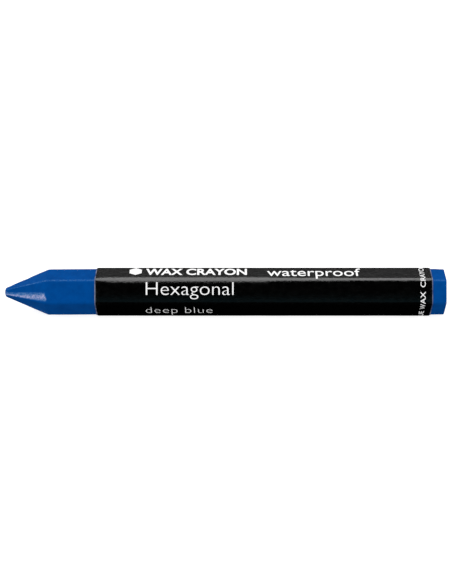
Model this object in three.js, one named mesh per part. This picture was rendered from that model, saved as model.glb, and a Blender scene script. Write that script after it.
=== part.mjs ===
// A hexagonal wax marking crayon in a pasted paper wrap, lying on one facet of the wrap.
// Millimetres. X runs from the tip to the butt, Y to the back and Z up. The table is at Z = 0
// and the origin is the middle of the footprint. Facets are counted round the X axis from the
// one that faces back and up: 0 back and up, 1 top, 2 front and up, 3 front and down,
// 4 bottom, 5 back and down.

import * as THREE from 'three';
import { mergeVertices } from 'three/addons/utils/BufferGeometryUtils.js';

// Wax stick
const stickLength = 110;
const stickAcrossFlats = 10.15;
const stickCornerRadius = 0.9;
const noseLength = 10.85;
const tipAcrossFlats = 1.88;
const tipRounding = 0.35;
const buttRounding = 0.25;

// Paper wrap: the bare lengths of wax are what the label leaves uncovered
const bareFront = 12.35;
const bareButt = 3.65;
const linerMargin = 0.25;
const linerThickness = 0.13;
const labelThickness = 0.15;
const paperGap = 0.02;

// Lap seam of each sheet, laid out across one flat facet
const linerSeamFacet = 5;
const labelSeamFacet = 0;
const seamMargin = 0.2;
const seamRamp = 0.8;
const edgeGap = 0.15;
const pasteThickness = 0.03;
const pasteGap = 0.01;
const pasteInset = 0.25;
const pasteEndInset = 1.5;

// Fineness of the round parts
const cornerSteps = 6;
const edgeSteps = 4;

const facetCount = 6;
const facetTurn = (2 * Math.PI) / facetCount;
const firstFacetAngle = Math.PI / 6;

const stickReach = stickAcrossFlats / 2;
const cornerReach = stickReach - stickCornerRadius;
const flatHalf = cornerReach * Math.tan(facetTurn / 2);

const linerInner = paperGap;
const labelInner = linerInner + linerThickness + paperGap;
const axisHeight = stickReach + labelInner + labelThickness;
const pasteRoom = pasteThickness + 2 * pasteGap;

const tipX = -stickLength / 2;
const labelStart = tipX + noseLength + bareFront;
const labelEnd = tipX + stickLength - bareButt;
const labelLength = labelEnd - labelStart;
const linerStart = labelStart - linerMargin;
const linerLength = labelLength + 2 * linerMargin;

// Where a lap seam begins and ends across its facet, from the facet's middle line
const rampStart = -flatHalf + seamMargin;
const rampEnd = rampStart + seamRamp;
const underEdge = rampEnd + edgeGap;
const overEdge = flatHalf - seamMargin - seamRamp - edgeGap;

// Turns a section drawn in X and Y and extruded along Z to lie along the crayon
const lengthwise = new THREE.Matrix4().makeBasis(
  new THREE.Vector3(0, 1, 0),
  new THREE.Vector3(0, 0, 1),
  new THREE.Vector3(1, 0, 0),
);

function facetAngle(facet) {
  return firstFacetAngle + facet * facetTurn;
}

// A point on a facet: across from its middle line and out from the wax
function facetPoint(facet, across, out) {
  const angle = facetAngle(facet);
  const reach = stickReach + out;
  return new THREE.Vector2(
    reach * Math.cos(angle) - across * Math.sin(angle),
    reach * Math.sin(angle) + across * Math.cos(angle),
  );
}

// The points between a facet and the next, on a circle about the wax corner's own centre
function cornerPoints(facet, out) {
  const centre = facetPoint(facet, flatHalf, -stickCornerRadius);
  const radius = stickCornerRadius + out;
  return Array.from({ length: cornerSteps - 1 }, (_, index) => {
    const angle = facetAngle(facet) + (facetTurn * (index + 1)) / cornerSteps;
    return new THREE.Vector2(radius * Math.cos(angle), radius * Math.sin(angle)).add(centre);
  });
}

function stickSection() {
  const points = [];
  for (let facet = 0; facet < facetCount; facet += 1) {
    points.push(facetPoint(facet, -flatHalf, 0));
    points.push(facetPoint(facet, flatHalf, 0));
    points.push(...cornerPoints(facet, 0));
  }
  return points;
}

// Stations along the stick: place from the tip, and half of the size across flats there.
// The tip's rounding is an arc that touches the end plane and the slope of the nose.
function stickProfile() {
  const slope = Math.atan2(stickReach - tipAcrossFlats / 2, noseLength);
  const tipCentre = tipAcrossFlats / 2 + tipRounding * (Math.tan(slope) - 1 / Math.cos(slope));
  const stations = [];
  for (let step = 0; step <= edgeSteps; step += 1) {
    const angle = ((Math.PI / 2 - slope) * step) / edgeSteps;
    stations.push({
      along: tipRounding * (1 - Math.cos(angle)),
      reach: tipCentre + tipRounding * Math.sin(angle),
    });
  }
  stations.push({ along: noseLength, reach: stickReach });
  for (let step = 0; step <= edgeSteps; step += 1) {
    const angle = ((Math.PI / 2) * step) / edgeSteps;
    stations.push({
      along: stickLength - buttRounding * (1 - Math.sin(angle)),
      reach: stickReach - buttRounding * (1 - Math.cos(angle)),
    });
  }
  return stations;
}

// The section carried along the profile: each step of the extrusion takes its station's
// place and scale
function stickGeometry() {
  const stations = stickProfile();
  const steps = stations.length - 1;
  const geometry = new THREE.ExtrudeGeometry(new THREE.Shape(stickSection()), {
    steps,
    depth: steps,
    bevelEnabled: false,
  });
  const position = geometry.attributes.position;
  for (let index = 0; index < position.count; index += 1) {
    const { along, reach } = stations[Math.round(position.getZ(index))];
    const scale = reach / stickReach;
    position.setXYZ(index, position.getX(index) * scale, position.getY(index) * scale, along);
  }
  return geometry;
}

// One surface of a sheet, from its under edge once round to its over edge. Lift is how far it
// rises over its own under edge, and hump, where there is one, is another sheet's seam below it.
function sheetSurface(seamFacet, out, lift, hump) {
  const points = [facetPoint(seamFacet, underEdge, out)];
  for (let turn = 0; turn < facetCount; turn += 1) {
    const facet = (seamFacet + turn) % facetCount;
    if (turn > 0) {
      points.push(facetPoint(facet, -flatHalf, out));
    }
    if (hump && hump.facet === facet) {
      points.push(facetPoint(facet, rampStart - edgeGap, out));
      points.push(facetPoint(facet, rampEnd - edgeGap, out + hump.lift));
      points.push(facetPoint(facet, overEdge + edgeGap, out + hump.lift));
      points.push(facetPoint(facet, overEdge + edgeGap + seamRamp, out));
    }
    points.push(facetPoint(facet, flatHalf, out));
    points.push(...cornerPoints(facet, out));
  }
  points.push(facetPoint(seamFacet, -flatHalf, out));
  points.push(facetPoint(seamFacet, rampStart, out));
  points.push(facetPoint(seamFacet, rampEnd, out + lift));
  points.push(facetPoint(seamFacet, overEdge, out + lift));
  return points;
}

// A sheet of paper wound once round the stick, its ends lapped and pasted
function sheetGeometry({ seamFacet, inner, thickness, length, hump }) {
  const lift = thickness + pasteRoom;
  const insideFace = sheetSurface(seamFacet, inner, lift, hump);
  const outsideFace = sheetSurface(seamFacet, inner + thickness, lift, hump);
  const section = new THREE.Shape([...outsideFace, ...insideFace.reverse()]);
  return new THREE.ExtrudeGeometry(section, { depth: length, bevelEnabled: false });
}

// The strip of dried paste between the two edges of a sheet's lap
function pasteGeometry({ seamFacet, outer, length }) {
  const low = outer + pasteGap;
  const high = low + pasteThickness;
  const left = underEdge + pasteInset;
  const right = overEdge - pasteInset;
  const section = new THREE.Shape([
    facetPoint(seamFacet, left, low),
    facetPoint(seamFacet, left, high),
    facetPoint(seamFacet, right, high),
    facetPoint(seamFacet, right, low),
  ]);
  return new THREE.ExtrudeGeometry(section, {
    depth: length - 2 * pasteEndInset,
    bevelEnabled: false,
  });
}

function place(name, geometry, start, finish) {
  geometry.deleteAttribute('normal');
  geometry.deleteAttribute('uv');
  geometry.applyMatrix4(lengthwise);
  const closed = mergeVertices(geometry);
  closed.computeVertexNormals();
  const mesh = new THREE.Mesh(closed, new THREE.MeshStandardMaterial(finish));
  mesh.name = name;
  mesh.position.set(start, 0, axisHeight);
  return mesh;
}

const blueWax = { color: 0x014690, roughness: 0.42, metalness: 0 };
const whitePaper = { color: 0xd9dadf, roughness: 0.85, metalness: 0 };
const blackPaper = { color: 0x0b0b0c, roughness: 0.45, metalness: 0 };
const driedPaste = { color: 0xd8cfb4, roughness: 0.6, metalness: 0 };

const liner = {
  seamFacet: linerSeamFacet,
  inner: linerInner,
  thickness: linerThickness,
  length: linerLength,
};
const label = {
  seamFacet: labelSeamFacet,
  inner: labelInner,
  thickness: labelThickness,
  length: labelLength,
  hump: { facet: linerSeamFacet, lift: linerThickness + pasteRoom },
};
const linerPaste = {
  seamFacet: linerSeamFacet,
  outer: linerInner + linerThickness,
  length: linerLength,
};
const labelPaste = {
  seamFacet: labelSeamFacet,
  outer: labelInner + labelThickness,
  length: labelLength,
};

const group = new THREE.Group();
group.add(place('wax_stick', stickGeometry(), tipX, blueWax));
group.add(place('liner_sheet', sheetGeometry(liner), linerStart, whitePaper));
group.add(place('liner_paste', pasteGeometry(linerPaste), linerStart + pasteEndInset, driedPaste));
group.add(place('label_sheet', sheetGeometry(label), labelStart, blackPaper));
group.add(place('label_paste', pasteGeometry(labelPaste), labelStart + pasteEndInset, driedPaste));

export default group;
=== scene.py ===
import math

import bmesh
import bpy
import numpy as np
from mathutils import Matrix, Vector


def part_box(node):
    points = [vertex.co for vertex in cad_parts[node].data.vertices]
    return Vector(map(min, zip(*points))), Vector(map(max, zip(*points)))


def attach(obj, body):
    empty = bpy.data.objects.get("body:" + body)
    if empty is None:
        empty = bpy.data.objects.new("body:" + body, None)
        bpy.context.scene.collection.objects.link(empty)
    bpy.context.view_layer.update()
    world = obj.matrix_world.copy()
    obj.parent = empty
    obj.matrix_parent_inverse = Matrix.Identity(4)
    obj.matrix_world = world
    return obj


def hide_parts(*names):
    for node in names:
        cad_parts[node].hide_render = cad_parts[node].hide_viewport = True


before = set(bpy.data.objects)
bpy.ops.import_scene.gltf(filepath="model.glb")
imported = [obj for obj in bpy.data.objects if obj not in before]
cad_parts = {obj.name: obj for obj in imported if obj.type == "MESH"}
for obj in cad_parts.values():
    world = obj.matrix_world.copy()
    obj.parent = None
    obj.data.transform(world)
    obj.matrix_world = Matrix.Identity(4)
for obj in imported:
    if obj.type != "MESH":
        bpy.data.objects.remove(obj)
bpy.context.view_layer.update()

# A hexagonal wax marking crayon lying on one facet of its paper wrap.
# X runs from the tip to the butt, Z is up. Facets are counted round X from the one that faces
# back and up: 0 back and up, 1 top, 2 front and up, 3 front and down, 4 bottom, 5 back and down.

mm = 0.001
facetCount = 6
facetTurn = 2 * math.pi / facetCount
cosHalf = math.cos(facetTurn / 2)
tanHalf = math.tan(facetTurn / 2)
topFacet = 1
frontFacet = 2
lowerFacet = 3


def boxOf(node):
    # the low and the high corner of a CAD node's box
    low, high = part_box(node)
    return np.array(low), np.array(high)


def meshPoints(mesh):
    # a mesh's points, one row of x, y and z for each
    flat = np.zeros(len(mesh.vertices) * 3, np.float32)
    mesh.vertices.foreach_get("co", flat)
    return flat.reshape(-1, 3).astype(float)


def cornerRadiusOf(low, high):
    # half the width across corners is (reach - r) / cos 30 + r, which gives r
    reach = (high[2] - low[2]) / 2
    return ((high[1] - low[1]) / 2 - reach / cosHalf) / (1 - 1 / cosHalf)


stickLow, stickHigh = boxOf("wax_stick")
linerLow, linerHigh = boxOf("liner_sheet")
labelLow, labelHigh = boxOf("label_sheet")
stickLength = stickHigh[0] - stickLow[0]
axisZ = (stickLow[2] + stickHigh[2]) / 2
stickReach = (stickHigh[2] - stickLow[2]) / 2
stickCorner = cornerRadiusOf(stickLow, stickHigh)
flatHalf = (stickReach - stickCorner) * tanHalf

# the shoulder is where the stick first has its whole size across flats
stickPoints = meshPoints(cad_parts["wax_stick"].data)
stickHeights = np.abs(stickPoints[:, 2] - axisZ)
shoulderX = stickPoints[stickHeights > 0.999 * stickReach, 0].min()
noseLength = shoulderX - stickLow[0]
bareFront = labelLow[0] - stickLow[0]
bareBack = labelHigh[0] - stickLow[0]
print("frame read: length", round(stickLength / mm, 2), "mm")


def smooth(value, start, end):
    # a ramp from 0 to 1 between start and end, with level ends: t * t * (3 - 2 t)
    t = np.clip((value - start) / (end - start), 0, 1)
    return t * t * (3 - 2 * t)


def ripple(places, size, seed):
    # soft noise from about -1 to 1: gain * the mean of sines that run in random directions, each
    # with about the given wavelength
    waveCount = 9
    gain = 2.2
    draw = np.random.default_rng(seed)
    ways = draw.normal(size=(waveCount, 3))
    ways /= np.linalg.norm(ways, axis=1, keepdims=True)
    pace = 2 * math.pi / (size * draw.uniform(0.75, 1.4, waveCount))
    shift = draw.uniform(0, 2 * math.pi, waveCount)
    waves = np.sin(places @ (ways * pace[:, None]).T + shift)
    return waves.mean(-1) * gain


def ringPlaces(flatCount, cornerCount):
    # once round a rounded hexagon: each point's facet, place across the flat from -1 to 1, and
    # turn round the corner from 0 to 1
    flat = np.linspace(-1, 1, flatCount)
    corner = np.arange(1, cornerCount + 1) / (cornerCount + 1)
    across = np.tile(np.r_[flat, np.ones(cornerCount)], facetCount)
    turn = np.tile(np.r_[np.zeros(flatCount), corner], facetCount)
    facet = np.repeat(np.arange(facetCount), flatCount + cornerCount)
    return facet, across, turn


def facetAngle(facet):
    # the direction that a facet faces: 30 degrees, and 60 more for each facet
    return math.pi / 6 + facet * facetTurn


def hexPoint(facet, across, turn, reach, corner):
    # foot of the flat + across along it + the corner radius along the outward normal
    base = facetAngle(facet)
    angle = base + turn * facetTurn
    inner = reach - corner
    y = inner * np.cos(base) - across * inner * tanHalf * np.sin(base) + corner * np.cos(angle)
    z = inner * np.sin(base) + across * inner * tanHalf * np.cos(base) + corner * np.sin(angle)
    return y, z, angle


softCornerValues = dict(
    broad=1.08 * mm,            # extra corner radius along the front half of the wrap
    narrow=0.30 * mm,           # and along the back half
    narrowLoss=0.45,            # the share of that which is gone at the wrap's back edge
    broadStart=0.5 * mm,        # both from the wrap's front edge
    broadEnd=41 * mm,
    rise=4 * mm,                # the length over which the radius grows or shrinks
    sharpEnd=0.2 * mm,          # nearer than this to a cut edge nothing is softened
    softFrom=1.6 * mm,
    uneven=0.09 * mm,
    unevenMm=6,
    seed=77,
)


def cornerExtra(x):
    # the corner between the top and the front facet is rounder under the paper: narrow + (broad -
    # narrow) * a ramp up and down along the front half + noise, all faded out at the cut edges
    v = softCornerValues
    fromFront = x - labelLow[0]
    length = labelHigh[0] - labelLow[0]
    inside = smooth(np.minimum(fromFront, labelHigh[0] - x), v["sharpEnd"], v["softFrom"])
    grow = smooth(fromFront, v["broadStart"], v["broadStart"] + v["rise"])
    shrink = 1 - smooth(fromFront, v["broadEnd"], v["broadEnd"] + v["rise"])
    narrow = v["narrow"] * (1 - v["narrowLoss"] * smooth(fromFront, 0.5 * length, length))
    line = np.stack([x, 0 * x, 0 * x], -1)
    uneven = v["uneven"] * ripple(line, v["unevenMm"] * mm, v["seed"])
    return inside * (narrow + (v["broad"] - narrow) * grow * shrink + uneven)


def softened(x, facet, across, turn):
    # the extra corner radius for each station and each point round the section
    afterTop = (facet == topFacet) & ((across > 0) | (turn > 0))
    beforeFront = (facet == frontFacet) & (across < 0)
    return cornerExtra(x)[:, None] * (afterTop | beforeFront)[None]


def gridFaces(rows, columns, closed, offset=0, turned=False):
    # quads between neighbouring rows of points, the last column joined to the first if closed
    last = columns if closed else columns - 1
    row, column = np.meshgrid(np.arange(rows - 1), np.arange(last), indexing="ij")
    beside = (column + 1) % columns
    quads = np.stack([
        row * columns + column,
        row * columns + beside,
        (row + 1) * columns + beside,
        (row + 1) * columns + column,
    ], -1).reshape(-1, 4) + offset
    return quads[:, ::-1] if turned else quads


def cappedFaces(rows, columns):
    # a closed tube: quads between its rings, and a fan from each end ring to a middle point; the
    # two middle points come after the rings
    ring = np.arange(columns)
    beside = (ring + 1) % columns
    last = (rows - 1) * columns
    firstMiddle = np.full(columns, rows * columns)
    firstFan = np.stack([beside, ring, firstMiddle], -1)
    lastFan = np.stack([last + ring, last + beside, firstMiddle + 1], -1)
    return gridFaces(rows, columns, True).tolist() + firstFan.tolist() + lastFan.tolist()


def shellFaces(rows, columns):
    # a sheet with thickness: its outer grid, its inner grid turned round, and the four edges
    # between them; the inner points come after the outer ones
    back = rows * columns
    c = np.arange(columns - 1)
    r = np.arange(rows - 1) * columns
    top = (rows - 1) * columns
    right = columns - 1
    outside = gridFaces(rows, columns, False)
    inside = gridFaces(rows, columns, False, back, True)
    lowEnd = np.stack([back + c, back + c + 1, c + 1, c], -1)
    highEnd = np.stack([top + c, top + c + 1, back + top + c + 1, back + top + c], -1)
    firstSide = np.stack([r, r + columns, back + r + columns, back + r], -1)
    lastSide = np.stack([back + r + right, back + r + columns + right, r + columns + right, r + right], -1)
    faces = np.concatenate([outside, inside, lowEnd, highEnd, firstSide, lastSide])
    return faces, len(outside)


def sceneObject(name, data):
    # an object that shows the data, at the origin
    item = bpy.data.objects.new(name, data)
    bpy.context.scene.collection.objects.link(item)
    return item


def makeMesh(name, points, faces, materials, faceMaterial=None, flatFaces=None):
    # an object from points and faces, shaded smooth apart from the flat faces
    mesh = bpy.data.meshes.new(name)
    mesh.from_pydata(points.tolist(), [], faces)
    for material in materials:
        mesh.materials.append(material)
    smoothFlags = np.ones(len(mesh.polygons), bool)
    if flatFaces is not None:
        smoothFlags[flatFaces] = False
    mesh.polygons.foreach_set("use_smooth", smoothFlags)
    if faceMaterial is not None:
        mesh.polygons.foreach_set("material_index", faceMaterial)
    mesh.update()
    return sceneObject(name, mesh)


def setAttribute(piece, name, values):
    # one number for each point, which a material reads by its name
    layer = piece.data.attributes.new(name, "FLOAT", "POINT")
    layer.data.foreach_set("value", np.ascontiguousarray(values, np.float32))


def finishPiece(piece, slot, *replaced):
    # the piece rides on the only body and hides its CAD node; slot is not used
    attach(piece, "root")
    if replaced:
        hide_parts(*replaced)
    print("made", piece.name, len(piece.data.polygons), "faces")


def srgb(code):
    # a hex colour turned to linear light: c / 12.92, or ((c + 0.055) / 1.055) ^ 2.4
    parts = np.array([int(code[i:i + 2], 16) for i in (1, 3, 5)]) / 255
    linear = np.where(parts <= 0.04045, parts / 12.92, ((parts + 0.055) / 1.055) ** 2.4)
    return (*linear.tolist(), 1.0)


def newMaterial(name):
    # a material with an empty node tree
    material = bpy.data.materials.new(name)
    material.use_nodes = True
    material.node_tree.nodes.clear()
    return material


def addNode(material, kind, settings=None, **inputs):
    # one node with its settings; an input is a value or another node's output socket
    node = material.node_tree.nodes.new(kind)
    for key, value in (settings or {}).items():
        setattr(node, key, value)
    for key, value in inputs.items():
        socket = node.inputs[int(key[1:])] if key[1:].isdigit() else node.inputs[key.replace("_", " ")]
        if isinstance(value, bpy.types.NodeSocket):
            material.node_tree.links.new(value, socket)
        else:
            socket.default_value = value
    return node


def rampStops(node, stops):
    # gives a colour ramp its stops, each a place and a hex colour
    ramp = node.color_ramp
    while len(ramp.elements) > len(stops):
        ramp.elements.remove(ramp.elements[-1])
    while len(ramp.elements) < len(stops):
        ramp.elements.new(1.0)
    for element, (place, colour) in zip(ramp.elements, stops):
        element.position = place
        element.color = srgb(colour)
    return node.outputs["Color"]


waxValues = dict(
    body="#00468f",
    deep="#004187",
    rich="#004b97",
    bloomAndHighlight="#a6acd4",            # thick bloom and painted highlight, then thinner ones
    thinBloomAndHighlight="#92d0f8",
    faintBloomAndHighlight="#56a6f8",
    mottleMm=2.2,               # swirls of pigment left by the pour
    mottleDepth=0.06 * mm,
    grainMm=0.30,               # specks of scuffed wax, drawn coarser than they are so that they show
    grainDepth=0.03 * mm,
    roughness=0.42,
)


def blueWax():
    # paraffin and stearin crayon wax, poured and chilled in a mould: a satin skin, a soft
    # mottle in the pigment, and pale bloom where the skin has been scuffed; the same pale colours
    # also paint highlights along the corner above the front facet and in a streak on the nose
    v = waxValues
    m = newMaterial("pouredBlueCrayonWax")
    place = addNode(m, "ShaderNodeTexCoord").outputs["Object"]
    mottle = addNode(m, "ShaderNodeTexNoise", Vector=place, Scale=1 / (v["mottleMm"] * mm), Detail=5.0,
                     Roughness=0.6)
    grain = addNode(m, "ShaderNodeTexNoise", Vector=place, Scale=1 / (v["grainMm"] * mm), Detail=3.0,
                    Roughness=0.7)
    pigment = rampStops(addNode(m, "ShaderNodeValToRGB", Fac=mottle.outputs["Fac"]), [
        (0.3, v["deep"]), (0.5, v["body"]), (0.72, v["rich"])])
    scuffAndHighlight = addNode(m, "ShaderNodeAttribute", {"attribute_name": "scuffAndHighlight"}).outputs["Fac"]
    speckle = addNode(m, "ShaderNodeMapRange", Value=grain.outputs["Fac"], From_Min=0.38, From_Max=0.62,
                      To_Min=0.25, To_Max=1.7).outputs["Result"]
    # where the attribute is high the wax turns pale: real bloom, and a painted highlight on the corner above
    # the front facet and on the nose's streak
    bloomAndHighlight = addNode(m, "ShaderNodeMath", {"operation": "MULTIPLY", "use_clamp": True},
                    i0=scuffAndHighlight, i1=speckle).outputs["Value"]
    haze = rampStops(addNode(m, "ShaderNodeValToRGB", Fac=bloomAndHighlight), [
        (0.05, v["faintBloomAndHighlight"]), (0.12, v["thinBloomAndHighlight"]), (0.5, v["bloomAndHighlight"])])
    colour = addNode(m, "ShaderNodeMix", {"data_type": "RGBA"}, i0=bloomAndHighlight, i6=pigment, i7=haze).outputs[2]
    satin = addNode(m, "ShaderNodeMapRange", Value=mottle.outputs["Fac"], From_Min=0.3, From_Max=0.7,
                    To_Min=v["roughness"] - 0.07, To_Max=v["roughness"] + 0.09).outputs["Result"]
    dimples = addNode(m, "ShaderNodeBump", Height=mottle.outputs["Fac"], Strength=0.25,
                      Distance=v["mottleDepth"]).outputs["Normal"]
    relief = addNode(m, "ShaderNodeBump", Height=grain.outputs["Fac"], Strength=0.35,
                     Distance=v["grainDepth"], Normal=dimples).outputs["Normal"]
    shader = addNode(m, "ShaderNodeBsdfPrincipled", Base_Color=colour, Roughness=satin, Normal=relief,
                     IOR=1.44, Specular_IOR_Level=0.008)
    addNode(m, "ShaderNodeOutputMaterial", Surface=shader.outputs["BSDF"])
    return m


labelValues = dict(
    ink="#010101",
    worn="#2a2b2d",
    fibreMm=0.55,               # fibres are far finer: drawn as felted bundles so that they show
    fibreDepth=0.13 * mm,
    fibreStretch=0.7,           # the bundles are this much longer along the crayon: 1 / 0.7
    mottleMm=1.3,               # patches where the varnish lies thicker
    roughness=0.20,
)


def blackLabelPaper():
    # bleached paper flooded with varnished black ink: near black, satin, with the paper's
    # fibres showing faintly through and a greyer rub along the corners
    v = labelValues
    m = newMaterial("varnishedBlackLabelPaper")
    place = addNode(m, "ShaderNodeTexCoord").outputs["Object"]
    along = addNode(m, "ShaderNodeMapping", Vector=place,
                    Scale=(v["fibreStretch"], 1.0, 1.0)).outputs["Vector"]
    fibre = addNode(m, "ShaderNodeTexNoise", Vector=along, Scale=1 / (v["fibreMm"] * mm), Detail=4.0,
                    Roughness=0.65)
    mottle = addNode(m, "ShaderNodeTexNoise", Vector=place, Scale=1 / (v["mottleMm"] * mm), Detail=3.0)
    rub = addNode(m, "ShaderNodeAttribute", {"attribute_name": "rub"}).outputs["Fac"]
    patchy = addNode(m, "ShaderNodeMapRange", Value=fibre.outputs["Fac"], From_Min=0.5, From_Max=0.72,
                     To_Min=0.0, To_Max=1.0).outputs["Result"]
    worn = addNode(m, "ShaderNodeMath", {"operation": "MULTIPLY", "use_clamp": True}, i0=rub,
                   i1=patchy).outputs["Value"]
    colour = addNode(m, "ShaderNodeMix", {"data_type": "RGBA"}, i0=worn, i6=srgb(v["ink"]),
                     i7=srgb(v["worn"])).outputs[2]
    satin = addNode(m, "ShaderNodeMapRange", Value=mottle.outputs["Fac"], From_Min=0.3, From_Max=0.7,
                    To_Min=v["roughness"] - 0.05, To_Max=v["roughness"] + 0.07).outputs["Result"]
    relief = addNode(m, "ShaderNodeBump", Height=fibre.outputs["Fac"], Strength=0.7,
                     Distance=v["fibreDepth"]).outputs["Normal"]
    shader = addNode(m, "ShaderNodeBsdfPrincipled", Base_Color=colour, Roughness=satin, Normal=relief,
                     IOR=1.55)
    addNode(m, "ShaderNodeOutputMaterial", Surface=shader.outputs["BSDF"])
    return m


linerPaperValues = dict(name="waxStainedLinerPaper", clean="#7b8199", stained="#3f4a6c", stainMm=1.8)
cutEdgeValues = dict(name="cutPaperEdge", clean="#d6d5d8", stained="#a9aab4", stainMm=0.8)
bareFibreMm = 0.12              # bundles of fibres, drawn coarser than they are so that they show


def barePaper(v):
    # uncoated bleached paper: matt, with felted fibres, and bluish where wax has soaked in
    m = newMaterial(v["name"])
    place = addNode(m, "ShaderNodeTexCoord").outputs["Object"]
    fibre = addNode(m, "ShaderNodeTexNoise", Vector=place, Scale=1 / (bareFibreMm * mm), Detail=4.0,
                    Roughness=0.7)
    stain = addNode(m, "ShaderNodeTexNoise", Vector=place, Scale=1 / (v["stainMm"] * mm), Detail=2.0)
    colour = rampStops(addNode(m, "ShaderNodeValToRGB", Fac=stain.outputs["Fac"]), [
        (0.38, v["stained"]), (0.62, v["clean"])])
    relief = addNode(m, "ShaderNodeBump", Height=fibre.outputs["Fac"], Strength=0.4,
                     Distance=0.02 * mm).outputs["Normal"]
    shader = addNode(m, "ShaderNodeBsdfPrincipled", Base_Color=colour, Roughness=0.85, Normal=relief,
                     IOR=1.5, Specular_IOR_Level=0.08)
    addNode(m, "ShaderNodeOutputMaterial", Surface=shader.outputs["BSDF"])
    return m


inkValues = dict(
    full="#fbfbfb",
    thin="#d2d3d5",
    fibreMm=0.16,               # as on the bare paper, a little coarser
    roughness=0.6,
)


def whiteScreenInk():
    # opaque white label ink: matt, a little thin where the paper's fibres lie low
    v = inkValues
    m = newMaterial("opaqueWhiteLabelInk")
    place = addNode(m, "ShaderNodeTexCoord").outputs["Object"]
    fibre = addNode(m, "ShaderNodeTexNoise", Vector=place, Scale=1 / (v["fibreMm"] * mm), Detail=4.0,
                    Roughness=0.7)
    colour = rampStops(addNode(m, "ShaderNodeValToRGB", Fac=fibre.outputs["Fac"]), [
        (0.24, v["thin"]), (0.38, v["full"])])
    relief = addNode(m, "ShaderNodeBump", Height=fibre.outputs["Fac"], Strength=0.3,
                     Distance=0.01 * mm).outputs["Normal"]
    shader = addNode(m, "ShaderNodeBsdfPrincipled", Base_Color=colour, Roughness=v["roughness"],
                     Normal=relief, IOR=1.5, Specular_IOR_Level=0.3)
    addNode(m, "ShaderNodeOutputMaterial", Surface=shader.outputs["BSDF"])
    return m


starchValues = dict(
    amber="#c9bb93",
    pale="#e6dfc8",
    streakMm=0.3,               # the marks of the brush's hairs, five times as long as wide
    streakStretch=0.2,
    roughness=0.45,
)


def driedPaste():
    # starch label paste, brushed on and dried: pale amber, streaked, half glossy
    v = starchValues
    m = newMaterial("driedStarchPaste")
    place = addNode(m, "ShaderNodeTexCoord").outputs["Object"]
    brush = addNode(m, "ShaderNodeMapping", Vector=place,
                    Scale=(v["streakStretch"], 1.0, 1.0)).outputs["Vector"]
    streak = addNode(m, "ShaderNodeTexNoise", Vector=brush, Scale=1 / (v["streakMm"] * mm), Detail=3.0)
    colour = rampStops(addNode(m, "ShaderNodeValToRGB", Fac=streak.outputs["Fac"]), [
        (0.35, v["amber"]), (0.65, v["pale"])])
    relief = addNode(m, "ShaderNodeBump", Height=streak.outputs["Fac"], Strength=0.4,
                     Distance=0.01 * mm).outputs["Normal"]
    shader = addNode(m, "ShaderNodeBsdfPrincipled", Base_Color=colour, Roughness=v["roughness"],
                     Normal=relief, IOR=1.5)
    addNode(m, "ShaderNodeOutputMaterial", Surface=shader.outputs["BSDF"])
    return m


waxMaterial = blueWax()
labelMaterial = blackLabelPaper()
linerMaterial = barePaper(linerPaperValues)
coreMaterial = barePaper(cutEdgeValues)
inkMaterial = whiteScreenInk()
pasteMaterial = driedPaste()
print("materials made")


stickValues = dict(
    flatPoints=15,
    cornerPoints=7,
    noseStep=0.16 * mm,
    bodyStep=0.3 * mm,
    hiddenStations=40,
    facetSink=0.015 * mm,       # how much lower a flat's middle is than its edges
    shoulderBlend=0.05 * mm,
    tipRounding=0.42 * mm,
    buttRounding=0.30 * mm,
    endDish=0.02 * mm,          # how much lower the middle of each flat end is
    castRipple=0.010 * mm,
    castRippleMm=4.5,
    castSeed=11,
    noseDroop=0.17 * mm,        # how far the tip hangs below the stick's axis
    tipChips=18,
    buttChips=8,
    chipSize=0.55 * mm,
    chipDepth=0.10 * mm,
    chipStretch=0.6,            # a chip is this much longer along the corner: 1 / 0.6
    chipSeed=5,
    scrapeDepth=0.03 * mm,
    scrapeUneven=0.5,
    scrapeUnevenMm=0.9,
    scrapeSeed=3,
    thinReach=1.2 * mm,         # where the stick is thinner than this, less is taken away
)
capShares = np.array([0.12, 0.35, 0.6, 0.8, 0.93])


def noseLine():
    # half of the size across flats where the nose's slope would meet the end plane, and the slope
    flank = stickPoints[:, 0] < shoulderX - 0.3 * noseLength
    last = stickPoints[flank, 0].max()
    reach = stickHeights[np.abs(stickPoints[:, 0] - last) < 1e-6].max()
    slope = (stickReach - reach) / (shoulderX - last)
    return reach - slope * (last - stickLow[0]), slope


def roundingLoss(fromEnd, radius):
    # how far an arc of this radius lies inside the end's square corner: r - sqrt(r^2 - (r - d)^2)
    share = 1 - np.clip(fromEnd / radius, 0, 1)
    return radius * (1 - np.sqrt(1 - share ** 2))


def stickReachAt(along):
    # the lesser of the nose line and the body's reach, softly blended, less the end roundings
    v = stickValues
    tipHalf, slope = noseLine()
    blend = v["shoulderBlend"]
    nose = tipHalf + slope * along
    reach = -blend * np.logaddexp(-nose / blend, -stickReach / blend)
    tipLoss = roundingLoss(along, v["tipRounding"])
    return reach - tipLoss - roundingLoss(stickLength - along, v["buttRounding"])


def stickStations():
    # close together where the wax shows, wide apart under the paper
    v = stickValues
    hidden = 1 * mm             # covered from this far under the paper
    noseEnd = noseLength + 0.8 * mm
    arc = 1 - np.cos(np.linspace(0, math.pi / 2, 6))
    return np.unique(np.round(np.r_[
        arc * v["tipRounding"],
        np.arange(v["tipRounding"], noseEnd, v["noseStep"]),
        np.arange(noseEnd, bareFront + hidden, v["bodyStep"]),
        np.linspace(bareFront + hidden, bareBack - hidden, v["hiddenStations"]),
        np.arange(bareBack - hidden, stickLength - v["buttRounding"], v["bodyStep"]),
        stickLength - arc[::-1] * v["buttRounding"],
    ], 7))


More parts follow.
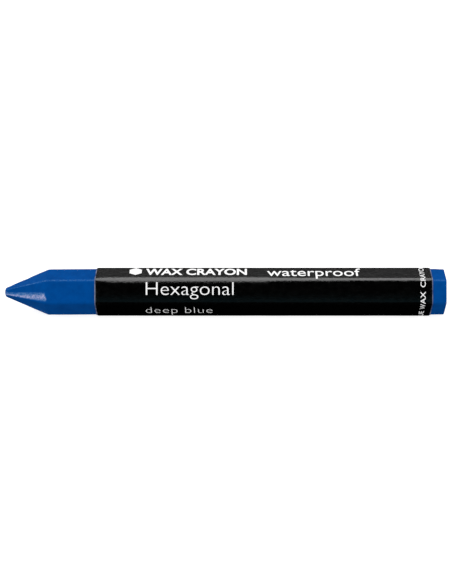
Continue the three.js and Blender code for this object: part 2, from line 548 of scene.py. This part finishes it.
def chipLoss(places, along, reach):
    # small chips along the corners: each is depth * exp(-(distance / size)^2) about its centre
    v = stickValues
    draw = np.random.default_rng(v["chipSeed"])
    nearTip = draw.uniform(0.2, 23, v["tipChips"])
    nearButt = draw.uniform(107, 109.8, v["buttChips"])
    spots = np.r_[nearTip, nearButt] * mm
    corners = draw.integers(0, facetCount, len(spots))
    loss = np.zeros(places.shape[:-1])
    for spot, corner in zip(spots, corners):
        angle = facetAngle(corner) + facetTurn / 2 + draw.normal(0, 0.05)
        size = v["chipSize"] * draw.uniform(0.4, 1.2)
        radius = np.interp(spot, along, reach) / cosHalf
        chip = np.array([spot + stickLow[0], radius * math.cos(angle), radius * math.sin(angle)])
        away = np.linalg.norm((places - chip) * np.array([v["chipStretch"], 1, 1]), axis=-1)
        loss = loss + v["chipDepth"] * draw.uniform(0.3, 1.0) * np.exp(-(away / size) ** 2)
    return loss


def scrapeLoss(places, facet, side, along):
    # the shallow step scraped into the nose's front facet: depth * a ramp up and down across the
    # facet * a ramp up and down along the nose * noise
    v = stickValues
    inFacet = smooth(side, -0.02, 0.05) * (1 - smooth(side, 1.1, 1.6)) * (facet == frontFacet)
    inNose = smooth(along, 0.2 * mm, 1 * mm) * (1 - smooth(along, noseLength - 0.2 * mm, noseLength))
    uneven = 1 + v["scrapeUneven"] * ripple(places, v["scrapeUnevenMm"] * mm, v["scrapeSeed"])
    return inFacet[None] * inNose[:, None] * v["scrapeDepth"] * uneven


scuffAndHighlightValues = dict(
    patch=0.16,                 # thin bloom on the scraped lower half of the nose's front facet
    streak=0.74,                # thick bloom near that facet's lower edge, with a painted highlight
    streakPlace=0.95,           # where the streak lies across the facet at the tip, from -1 to 1
    streakRise=0.40,            # how much higher it lies at the shoulder
    streakWidth=0.20,
    streakSpread=0.08,          # how much wider it is at the shoulder
    topHaze=0.02,
    lowerHaze=0.015,
    lowerHazeRise=0.03,         # more of it towards the lower facet's lower edge
    ragged=0.45 * mm,           # how far past the shoulder the bloom runs on the lower half
    # a rubbed tip, paler on the front facet's lower half, where it paints a highlight
    tipRubAndHighlight=0.28,
    tipRubAround=0.12,          # the share of it that reaches the other facets
    frontEdgeHighlight=0.09,             # painted highlight along the corner above the front facet
    noseEdgeHighlight=0.02,              # more painted highlight on the nose
    otherEdges=0.02,
    tipFace=0.16,
    buttFace=0.03,
    uneven=0.35,
    unevenMm=0.8,
    unevenLess=0.15,            # the noise takes this much more than it adds
    seed=21,
)


def scuffAndHighlightOf(facet, across, turn, along):
    # pale bloom and painted highlight, 0 to 1: the greatest of a patch with a streak along it (bloom
    # with a painted highlight), a haze on the facets beside it, a rubbed tip with a painted highlight
    # on its lower half, a painted highlight along the corner above the front facet and rubbed corners
    # elsewhere; streak and corner are exp(-(distance / width)^2)
    v = scuffAndHighlightValues
    side = across + turn * 0.6
    share = along / noseLength
    end = noseLength + v["ragged"] * smooth(side, 0.35, 0.85)
    onNose = smooth(along, 0.0, 0.5 * mm) * (1 - smooth(along, end - v["ragged"], end - 0.1 * mm))
    streakAt = v["streakPlace"] - v["streakRise"] * share
    streakWidth = v["streakWidth"] + v["streakSpread"] * share
    streak = np.exp(-((side - streakAt) / streakWidth) ** 2)
    lowerHalf = smooth(side, -0.03, 0.06) * (facet == frontFacet)
    patch = lowerHalf * (1 - smooth(side, streakAt + 0.15, streakAt + 0.4))
    front = onNose * (v["patch"] * patch + v["streak"] * streak * lowerHalf)
    lowerHaze = v["lowerHaze"] + v["lowerHazeRise"] * smooth(side, 0.0, 1.0)
    haze = onNose * ((facet == lowerFacet) * lowerHaze + (facet == topFacet) * v["topHaze"])
    tip = v["tipRubAndHighlight"] * (1 - smooth(along, 0.3 * mm, 1.6 * mm)) * (lowerHalf + v["tipRubAround"])
    corner = np.exp(-((turn - 0.5) / 0.3) ** 2) * (turn > 0)
    others = (facet < topFacet) | (facet > lowerFacet)
    # painted highlight along the corner above the front facet, more of it on the nose
    onTop = (facet == topFacet) * (v["frontEdgeHighlight"] + v["noseEdgeHighlight"] * onNose)
    edge = corner * (onTop + others * v["otherEdges"])
    return np.clip(np.maximum(np.maximum(front, haze), np.maximum(tip, edge)), 0, 1)


def capRings(ring, dish):
    # a flat end: the end ring drawn in to its middle by each share, and dished by dish * (1 - share)
    middle = ring.mean(0)
    share = capShares[:, None, None]
    cap = middle + (ring - middle) * share
    cap[..., 0] += dish * (1 - share[..., 0])
    return cap, middle + np.array([dish, 0, 0])


def waxStick():
    # the rounded hexagon carried along the stick, less what casting, chips and scraping take away,
    # so that it stays inside its CAD solid
    v = stickValues
    facet, across, turn = ringPlaces(v["flatPoints"], v["cornerPoints"])
    along = stickStations()
    reach = stickReachAt(along)[:, None]
    corner = (stickCorner + softened(along + stickLow[0], facet, across, turn)) * reach / stickReach
    y, z, angle = hexPoint(facet[None], across[None], turn[None], reach, corner)
    x = np.repeat(along[:, None], len(facet), 1) + stickLow[0]
    places = np.stack([x, y, z], -1)

    loss = v["facetSink"] * (1 - across[None] ** 2) * reach / stickReach
    cast = ripple(places, v["castRippleMm"] * mm, v["castSeed"])
    loss = loss + v["castRipple"] * (1 + cast) / 2
    loss = loss + chipLoss(places, along, reach[:, 0])
    loss = loss + scrapeLoss(places, facet, across + turn, along)
    loss = loss * np.minimum(1, reach / v["thinReach"])
    y = y - loss * np.cos(angle)
    z = z - loss * np.sin(angle) - v["noseDroop"] * np.clip(1 - along / bareFront, 0, 1)[:, None]

    rings = np.stack([x, y, z + axisZ], -1)
    tipCap, tipMiddle = capRings(rings[0], v["endDish"])
    buttCap, buttMiddle = capRings(rings[-1], -v["endDish"])
    rings = np.concatenate([tipCap, rings, buttCap[::-1]])
    rows, columns = rings.shape[:2]
    points = np.concatenate([rings.reshape(-1, 3), [tipMiddle], [buttMiddle]])
    piece = makeMesh("waxStick", points, cappedFaces(rows, columns), [waxMaterial])

    s = scuffAndHighlightValues
    # bloom and painted highlight for each point, made a little uneven
    scuffAndHighlight = scuffAndHighlightOf(facet[None], across[None], turn[None], along[:, None])
    waver = s["uneven"] * ripple(places, s["unevenMm"] * mm, s["seed"]) - s["unevenLess"]
    scuffAndHighlight = scuffAndHighlight * (1 + waver * smooth(scuffAndHighlight, 0.1, 0.2))
    face = np.ones((len(capShares), columns))
    whole = np.concatenate([face * s["tipFace"], scuffAndHighlight, face * s["buttFace"]])
    setAttribute(piece, "scuffAndHighlight", np.r_[whole.ravel(), s["tipFace"], s["buttFace"]])
    finishPiece(piece, "blue_wax", "wax_stick")


seamValues = dict(
    margin=0.2 * mm,            # from the facet's edge to where the lap starts to rise
    ramp=0.8 * mm,
    edgeGap=0.15 * mm,
    pasteRoom=0.05 * mm,
)
sheetValues = dict(
    flatPoints=12,              # across a plain facet
    humpPoints=42,              # across the facet over another sheet's seam
    lapPoints=14,               # across each half of the lap
    rampPoints=12,
    cornerPoints=8,
    stationStep=0.8 * mm,
    trimWander=0.02 * mm,       # how unevenly the cut ends were trimmed
    trimWanderMm=5,
    cornerRub=0.10,             # ink rubbed thin on the corners
    endRub=0.5,                 # more on the corners at the cut ends
    cutRub=0.25,                # and all round at the cut ends
    rubRun=2.2 * mm,
)
linerValues = dict(
    seamFacet=5,
    thickness=0.13 * mm,
    underOut=0.02 * mm,         # how far the sheet's inner face is out from the wax
    humpFacet=None,
    endDrop=0.03 * mm,          # how much the cut ends are pressed down, over endRun
    endRun=0.2 * mm,
    waver=0.01 * mm,
    waverMm=7,
    seed=41,
)
labelSheetValues = dict(
    seamFacet=0,
    thickness=0.138 * mm,       # leaves room for the ink inside the CAD solid
    underOut=0.17 * mm,
    humpFacet=5,                # the liner's seam lifts the label here
    endDrop=0.10 * mm,
    endRun=0.5 * mm,
    waver=0.014 * mm,
    waverMm=5,
    seed=42,
)
rampStart = -flatHalf + seamValues["margin"]
rampEnd = rampStart + seamValues["ramp"]
underEdge = rampEnd + seamValues["edgeGap"]
overEdge = flatHalf - seamValues["margin"] - seamValues["ramp"] - seamValues["edgeGap"]


def overAcross():
    # places across the seam's facet from its first corner to the over edge, closer on the ramp
    return np.r_[
        np.linspace(-flatHalf, rampStart, 3)[:-1],
        np.linspace(rampStart, rampEnd, sheetValues["rampPoints"])[:-1],
        np.linspace(rampEnd, overEdge, sheetValues["lapPoints"]),
    ]


def humpLift(across):
    # the liner's seam seen through the label: its thickness and paste, ramped up and down
    s = seamValues
    height = linerValues["thickness"] + s["pasteRoom"]
    up = smooth(across, rampStart - s["edgeGap"], rampEnd - s["edgeGap"])
    down = smooth(across, overEdge + s["edgeGap"], overEdge + s["edgeGap"] + s["ramp"])
    return height * (up * (1 - down))


def sheetPath(v):
    # one turn of a sheet from its under edge to its over edge: facet, place across the flat,
    # turn round the corner and lift over a seam, one row per point
    s = sheetValues
    corner = np.arange(1, s["cornerPoints"] + 1) / (s["cornerPoints"] + 1)
    ownLift = v["thickness"] + seamValues["pasteRoom"]
    rows = []
    for step in range(facetCount + 1):
        facet = (v["seamFacet"] + step) % facetCount
        lift = 0
        if step == 0:
            across = np.linspace(underEdge, flatHalf, s["lapPoints"])
        elif step == facetCount:
            across = overAcross()
            lift = ownLift * smooth(across, rampStart, rampEnd)
        elif facet == v["humpFacet"]:
            across = np.linspace(-flatHalf, flatHalf, s["humpPoints"])
            lift = humpLift(across)
        else:
            across = np.linspace(-flatHalf, flatHalf, s["flatPoints"])
        rows.append(np.stack(np.broadcast_arrays(facet, across, 0.0, lift), -1))
        if step < facetCount:
            rows.append(np.stack(np.broadcast_arrays(facet, flatHalf, corner, 0.0), -1))
    return np.concatenate(rows)


def waverOf(v, places):
    # how far a sheet's outer face is sunk: waver * noise from 0 to 1
    return v["waver"] * (1 + ripple(places, v["waverMm"] * mm, v["seed"])) / 2


def sheetSkin(v, path, x, low, high):
    # the sheet's outer face: the path's points, how far out each is, a little uneven and never
    # above the CAD solid, and how much lower it is near the cut ends, by a quarter of an ellipse
    facet, across, turn, lift = path.T
    fromEnd = np.minimum(x - low, high - x)[:, None]
    share = np.clip(1 - fromEnd / v["endRun"], 0, 1)
    drop = v["endDrop"] * (1 - np.sqrt(1 - 0.999 * share ** 2))
    corner = stickCorner + softened(x, facet, across, turn)
    y, z, angle = hexPoint(facet[None], across[None] / flatHalf, turn[None], stickReach, corner)
    places = np.stack(np.broadcast_arrays(x[:, None], y, z), -1)
    waver = waverOf(v, places)
    return y, z, angle, v["underOut"] + v["thickness"] + lift[None] - waver, drop


def paperSheet(name, v, low, high, faceMaterials, slot, node):
    # a sheet wound once round the wax: its path carried along X, as an outer and an inner skin
    # joined at the cut edges, which waver a little where they were trimmed
    s = sheetValues
    path = sheetPath(v)
    endArc = v["endRun"] * (1 - np.cos(np.linspace(0, math.pi / 2, 5)))
    middleCount = max(4, int((high - low) / s["stationStep"]))
    x = np.unique(np.round(np.r_[
        low + endArc,
        np.linspace(low + v["endRun"], high - v["endRun"], middleCount),
        high - endArc,
    ], 8))
    y, z, angle, outer, drop = sheetSkin(v, path, x, low, high)
    inner = outer - v["thickness"]
    outer = outer - drop
    around = np.stack([0 * y[0], y[0], z[0]], -1)
    trim = s["trimWander"] * ripple(around, s["trimWanderMm"] * mm, v["seed"] + 7)
    stretch = np.where(x < (low + high) / 2, 1, -1)[:, None] * np.abs(trim)[None]
    nearEnd = (np.minimum(x - low, high - x) < v["endRun"])[:, None]
    trimmedX = x[:, None] + stretch * nearEnd

    def skin(out):
        face = np.stack([trimmedX, y + out * np.cos(angle), z + out * np.sin(angle) + axisZ], -1)
        return face.reshape(-1, 3)

    faces, skinCount = shellFaces(len(x), len(path))
    kinds = np.zeros(len(faces), int)
    kinds[skinCount:] = 1       # the printed face is on the outside only
    cutEdges = slice(2 * skinCount, None)
    points = np.concatenate([skin(outer), skin(inner)])
    piece = makeMesh(name, points, faces.tolist(), faceMaterials, kinds, cutEdges)

    # rub on the corners, more towards the ends of the wrap: exp(-(distance / width)^2) round the
    # corner's middle, and a ramp along the paper
    onCorner = np.exp(-((path[:, 2] - 0.5) / 0.33) ** 2) * (path[:, 2] > 0)
    nearCut = (1 - smooth(np.minimum(x - low, high - x), 0, s["rubRun"]))[:, None]
    rub = onCorner[None] * (s["cornerRub"] + s["endRub"] * nearCut) + s["cutRub"] * nearCut ** 3
    rub = np.clip(rub, 0, 1).ravel()
    setAttribute(piece, "rub", np.r_[rub, 0 * rub])
    finishPiece(piece, slot, node)


pasteValues = dict(
    thickness=0.03 * mm,
    gap=0.01 * mm,
    inset=0.25 * mm,            # from the edges of the lap
    endInset=1.5 * mm,
    raggedness=0.16 * mm,
    raggedMm=3,
    brushMm=1.1,
    fill=0.75,                  # the share of the thickness that the film has dried to
    fillUneven=0.2,
    stations=120,
    acrossPoints=6,
)


def pasteStrip(name, v, low, high, node):
    # a thin film across the lap of sheet v: its edges wander by noise along X, and so does its
    # thickness, by noise over the film
    p = pasteValues
    x = np.linspace(low + p["endInset"], high - p["endInset"], p["stations"])
    line = np.stack([x, 0 * x, 0 * x], -1)
    ragged = [p["raggedness"] * (1 + ripple(line, p["raggedMm"] * mm, v["seed"] + k)) / 2 for k in (1, 2)]
    left = underEdge + p["inset"] + ragged[0]
    right = overEdge - p["inset"] - ragged[1]
    across = left[:, None] + (right - left)[:, None] * np.linspace(0, 1, p["acrossPoints"])
    places = np.stack(np.broadcast_arrays(x[:, None], across, 0 * across), -1)
    brushed = p["fillUneven"] * ripple(places, p["brushMm"] * mm, v["seed"] + 3)
    thin = p["thickness"] * (p["fill"] + brushed)
    base = v["underOut"] + v["thickness"] + p["gap"] - 0.5 * v["waver"]
    angle = facetAngle(v["seamFacet"])

    def skin(out):
        reach = stickReach + out
        y = reach * math.cos(angle) - across * math.sin(angle)
        z = reach * math.sin(angle) + across * math.cos(angle) + axisZ
        return np.stack(np.broadcast_arrays(x[:, None], y, z), -1).reshape(-1, 3)

    faces, _ = shellFaces(*across.shape)
    points = np.concatenate([skin(base + thin), skin(base)])
    finishPiece(makeMesh(name, points, faces.tolist(), [pasteMaterial]), "dried_paste", node)


waxStick()
paperSheet("linerSheet", linerValues, linerLow[0], linerHigh[0], [linerMaterial, linerMaterial],
           "white_paper", "liner_sheet")
paperSheet("labelSheet", labelSheetValues, labelLow[0], labelHigh[0], [labelMaterial, coreMaterial],
           "black_paper", "label_sheet")
pasteStrip("linerPaste", linerValues, linerLow[0], linerHigh[0], "liner_paste")
pasteStrip("labelPaste", labelSheetValues, labelLow[0], labelHigh[0], "label_paste")


inkThickness = 0.012 * mm
inkSunk = 0.2                   # the share of it that lies in the paper
facetStrip = 0.3 * mm           # how finely letters are cut along a facet
bandStrip = 0.16 * mm           # and round the wrap
printValues = [
    # start is from the label's front edge, baseline is below the facet's middle line
    dict(name="printTitle", words="WAX CRAYON", facet=topFacet, start=12.3 * mm, length=25.2 * mm,
         baseline=0.97 * mm, height=3.15 * mm, bold=0.028),
    dict(name="printUse", words="waterproof", facet=topFacet, start=42.5 * mm, length=23.2 * mm,
         baseline=1.5 * mm, height=3.75 * mm, bold=0.003),
    dict(name="printShape", words="Hexagonal", facet=frontFacet, start=12.5 * mm, length=21.7 * mm,
         baseline=0.77 * mm, height=3.14 * mm, bold=-0.012),
    dict(name="printColour", words="deep blue", facet=lowerFacet, start=12.3 * mm, length=16.6 * mm,
         baseline=1.2 * mm, height=2.8 * mm, bold=-0.021, spacing=1.06),
]
# baseline is from the label's front edge, begin is across the paper from the lower facet's middle
bandValues = dict(name="printSize", words="BLUE WAX CRAYON", baseline=81.54 * mm, height=1.24 * mm,
                  begin=-16.3 * mm, length=21.5 * mm, bold=0.006, wordSpacing=1.6)
markValues = dict(x=9.75 * mm, across=-0.82 * mm, radius=1.76 * mm, around=48)


def onLabel(x, facet, across, above):
    # a point of the label's outer face: across is the distance along the paper from a facet's
    # middle line; past the flat it turns round the corner, by distance / radius, and past the
    # corner's middle it is counted from the next facet
    v = labelSheetValues
    out = v["underOut"] + v["thickness"]
    pitch = 2 * flatHalf + (stickCorner + out) * facetTurn
    step = np.round(across / pitch) if facet == lowerFacet else 0 * across
    facet = facet + step
    across = across - step * pitch
    side = np.sign(across)
    soft = ((facet == topFacet) & (across > 0)) | ((facet == frontFacet) & (across < 0))
    corner = stickCorner + cornerExtra(x) * soft
    inner = stickReach - corner
    flat = inner * tanHalf
    past = np.maximum(np.abs(across) - flat, 0)
    base = facetAngle(facet)
    angle = base + side * past / (corner + out)
    foot = side * np.minimum(np.abs(across), flat)
    y = inner * np.cos(base) - foot * np.sin(base) + corner * np.cos(angle)
    z = inner * np.sin(base) + foot * np.cos(base) + corner * np.sin(angle)
    places = np.stack([x, y, z], -1)
    waver = waverOf(v, places)
    reach = out - waver + above
    return np.stack([x, y + reach * np.cos(angle), z + reach * np.sin(angle) + axisZ], -1)


def letters(words, bold, spacing=1.0, wordSpacing=1.0):
    # the words as a closed mesh of unit size, lying in X and Y with its depth in Z
    curve = bpy.data.curves.new("letters", "FONT")
    curve.body = words
    curve.space_character = spacing
    curve.space_word = wordSpacing
    curve.offset = bold
    curve.extrude = 0.01
    curve.resolution_u = 5
    holder = sceneObject("letters", curve)
    bpy.context.view_layer.update()
    mesh = bpy.data.meshes.new_from_object(holder.evaluated_get(bpy.context.evaluated_depsgraph_get()))
    bpy.data.objects.remove(holder)
    bpy.data.curves.remove(curve)
    return mesh


def inkPiece(name, mesh, place, axis, cuts):
    # letters cut into narrow strips, so that they can follow the paper, and then laid on it
    shape = bmesh.new()
    shape.from_mesh(mesh)
    bmesh.ops.remove_doubles(shape, verts=shape.verts, dist=1e-5)
    normal = Vector((1 - axis, axis, 0))
    for value in cuts:
        everything = shape.verts[:] + shape.edges[:] + shape.faces[:]
        bmesh.ops.bisect_plane(shape, geom=everything, plane_co=normal * value, plane_no=normal, dist=1e-6)
    bmesh.ops.triangulate(shape, faces=shape.faces[:])
    bmesh.ops.recalc_face_normals(shape, faces=shape.faces[:])
    shape.to_mesh(mesh)
    shape.free()
    mesh.vertices.foreach_set("co", place(meshPoints(mesh)).astype(np.float32).ravel())
    mesh.materials.append(inkMaterial)
    mesh.update()
    mesh.name = name
    finishPiece(sceneObject(name, mesh), "white_ink")


def aboveOf(flat):
    # the letters' depth turned into the ink's thickness, its underside just in the paper
    depth = flat[:, 2]
    share = (depth - depth.min()) / (depth.max() - depth.min())
    return (share - inkSunk) * inkThickness


def spanOf(mesh):
    # the least and the greatest of a mesh's x, y and z
    flat = meshPoints(mesh)
    return flat.min(0), flat.max(0)


def printScales(p, mesh):
    # the words' low and high corner, their baseline, and how much the mesh is scaled: along, by
    # length / its length, and up, by height / a capital's height
    low, high = spanOf(mesh)
    capLow, capHigh = spanOf(letters("H", p["bold"]))
    return low, high, capLow[1], p["length"] / (high[0] - low[0]), p["height"] / (capHigh[1] - capLow[1])


def facetPrint(p):
    # words along a facet: x from the letters' x, and across the paper from their height
    mesh = letters(p["words"], p["bold"], p.get("spacing", 1.0))
    low, high, base, widen, tall = printScales(p, mesh)

    def place(flat):
        x = labelLow[0] + p["start"] + (flat[:, 0] - low[0]) * widen
        across = p["baseline"] - (flat[:, 1] - base) * tall
        return onLabel(x, p["facet"], across, aboveOf(flat))

    strips = np.arange(low[1], high[1], facetStrip / tall)[1:]
    return inkPiece(p["name"], mesh, place, 1, strips)


def bandPrint(p):
    # words that run round the wrap near its back edge, reading upwards on the front: x from the
    # letters' height, and across the paper from their x
    mesh = letters(p["words"], p["bold"], 1.0, p["wordSpacing"])
    low, high, base, widen, tall = printScales(p, mesh)

    def place(flat):
        x = labelLow[0] + p["baseline"] - (flat[:, 1] - base) * tall
        across = p["begin"] + p["length"] - (flat[:, 0] - low[0]) * widen
        return onLabel(x, lowerFacet, across, aboveOf(flat))

    strips = np.arange(low[0], high[0], bandStrip / widen)[1:]
    return inkPiece(p["name"], mesh, place, 0, strips)


def markPrint():
    # a plain hexagon ahead of the title, for the crayon's section: in polar form its reach is
    # radius * cos 30 / cos(angle from the nearest side's middle)
    v = markValues
    turn = np.linspace(0, 2 * math.pi, v["around"], endpoint=False)
    hexagon = cosHalf / np.cos((turn + facetTurn / 2) % facetTurn - facetTurn / 2)
    shares = np.array([0.25, 0.5, 0.75, 1.0])
    upper = (1 - inkSunk) * inkThickness
    lower = -inkSunk * inkThickness

    def layer(reaches, above):
        x = labelLow[0] + v["x"] + reaches * np.cos(turn)
        across = v["across"] + reaches * np.sin(turn)
        return onLabel(x.ravel(), topFacet, across.ravel(), above)

    reaches = v["radius"] * shares[:, None] * hexagon
    middle = 0 * turn[None]
    points = np.concatenate([
        layer(reaches, upper),
        layer(reaches[::-1], lower),
        layer(middle, upper)[:1],
        layer(middle, lower)[:1],
    ])
    piece = makeMesh("printMark", points, cappedFaces(2 * len(shares), len(turn)), [inkMaterial])
    shape = bmesh.new()
    shape.from_mesh(piece.data)
    bmesh.ops.recalc_face_normals(shape, faces=shape.faces[:])
    shape.to_mesh(piece.data)
    shape.free()
    finishPiece(piece, "white_ink")


markPrint()
for values in printValues:
    facetPrint(values)
bandPrint(bandValues)
print("label printed")


stageValues = dict(
    floorColour="#b4b4b4",
    floorGlow=0.82,
    floorHalfWidth=2.0,
    floorToothMm=1.5,           # the card's tooth, much coarser than it is so that it shows
    skyLight=1.12,
    groundLight=0.47,
    groundDip=-0.14,            # how far below the horizon the light from all round has faded
)
crayonMiddle = (0, 0, axisZ)


def tented(elevation, distance):
    # a place over the crayon, at an angle from straight behind it through straight up
    angle = math.radians(elevation)
    return (0, distance * math.cos(angle), axisZ + distance * math.sin(angle))


lightValues = [
    dict(name="overheadSoftbox", place=tented(80, 0.5), aim=crayonMiddle, size=(1.2, 0.577), radiance=3.6),
    dict(name="backSoftbox", place=tented(29, 0.6), aim=crayonMiddle, size=(1.4, 0.13), radiance=0.365),
    dict(name="noseCard", place=(-0.32, -0.24, 0.10), aim=(-0.05, 0, axisZ), size=(0.12, 0.16), radiance=1.6),
    # close to the label's front facet, so that only the lower half of the facet mirrors it
    dict(name="lowFrontStrip", place=(0.01, -0.0105, 0.0081), aim=(0.01, -0.0061, 0.0056),
         size=(0.17, 0.0022), radiance=0.14, colour="#a8eeff"),
]


def floorPiece():
    # a flat square of pale card
    v = stageValues
    half = v["floorHalfWidth"]
    points = np.array([[-half, -half, 0], [half, -half, 0], [half, half, 0], [-half, half, 0]])
    m = newMaterial("paleStudioCard")
    place = addNode(m, "ShaderNodeTexCoord").outputs["Object"]
    tooth = addNode(m, "ShaderNodeTexNoise", Vector=place, Scale=1 / (v["floorToothMm"] * mm),
                    Detail=2.0)
    relief = addNode(m, "ShaderNodeBump", Height=tooth.outputs["Fac"], Strength=0.05,
                     Distance=0.05 * mm).outputs["Normal"]
    shader = addNode(m, "ShaderNodeBsdfPrincipled", Base_Color=srgb(v["floorColour"]),
                     Roughness=0.9, Normal=relief, Specular_IOR_Level=0.0,
                     Emission_Color=srgb("#ffffff"), Emission_Strength=v["floorGlow"])
    addNode(m, "ShaderNodeOutputMaterial", Surface=shader.outputs["BSDF"])
    floor = makeMesh("floor", points, [[0, 1, 2, 3]], [m])
    # the world lights the crayon from below in the card's place
    floor.visible_glossy = False
    floor.visible_diffuse = False
    floor.visible_shadow = False


def softbox(name, place, aim, size, radiance, colour="#ffffff"):
    # an area light seen only in gloss, its power from the radiance: power = pi * area * radiance
    light = bpy.data.lights.new(name, "AREA")
    light.shape = "RECTANGLE"
    light.size, light.size_y = size
    light.energy = math.pi * size[0] * size[1] * radiance
    light.color = srgb(colour)[:3]
    lamp = sceneObject(name, light)
    lamp.location = place
    lamp.rotation_euler = (Vector(aim) - Vector(place)).to_track_quat("-Z", "Y").to_euler()
    lamp.visible_camera = False
    lamp.visible_diffuse = False


def studio():
    # soft light from all round, a smooth ramp on height from the ground's to the sky's, and lamps
    v = stageValues
    world = bpy.data.worlds.new("paleStudio")
    world.use_nodes = True
    world.node_tree.nodes.clear()
    place = addNode(world, "ShaderNodeTexCoord").outputs["Generated"]
    height = addNode(world, "ShaderNodeSeparateXYZ", Vector=place).outputs["Z"]
    strength = addNode(world, "ShaderNodeMapRange", {"interpolation_type": "SMOOTHSTEP"}, Value=height,
                       From_Min=v["groundDip"], From_Max=0.0, To_Min=v["groundLight"],
                       To_Max=v["skyLight"]).outputs["Result"]
    glow = addNode(world, "ShaderNodeBackground", Color=srgb("#ffffff"), Strength=strength)
    addNode(world, "ShaderNodeOutputWorld", Surface=glow.outputs["Background"])
    world.cycles_visibility.glossy = False
    bpy.context.scene.world = world
    for light in lightValues:
        softbox(**light)


cameraValues = dict(
    distance=337 * mm,
    elevation=30.0,
    sensor=36.0,
    pictureHeight=146.5 * mm,     # what the picture's long side spans at the crayon's axis
    standX=5.0 * mm,              # the camera stands a little past the middle and looks back
    aimX=0.46 * mm,
    aimDown=0.07 * mm,
)


def makeCamera():
    # lens = sensor * distance / height of the picture; the turn comes from the way up and the way
    # back from the aim to the camera
    v = cameraValues
    tilt = math.radians(v["elevation"])
    data = bpy.data.cameras.new("camera")
    data.sensor_width = v["sensor"]
    data.lens = v["sensor"] * v["distance"] / v["pictureHeight"]
    data.clip_start = 0.01
    data.clip_end = 20
    camera = sceneObject("camera", data)
    back = Vector((0, -math.cos(tilt), math.sin(tilt)))
    up = Vector((0, math.sin(tilt), math.cos(tilt)))
    aim = Vector((v["aimX"], 0, axisZ)) - up * v["aimDown"]
    camera.location = aim + back * v["distance"] + Vector((v["standX"] - v["aimX"], 0, 0))
    back = (camera.location - aim).normalized()
    camera.rotation_euler = Matrix((up.cross(back), up, back)).transposed().to_euler()
    bpy.context.scene.camera = camera


floorPiece()
studio()
makeCamera()
bpy.context.scene.view_settings.view_transform = "Standard"
bpy.context.scene.view_settings.look = "None"
print("stage set")
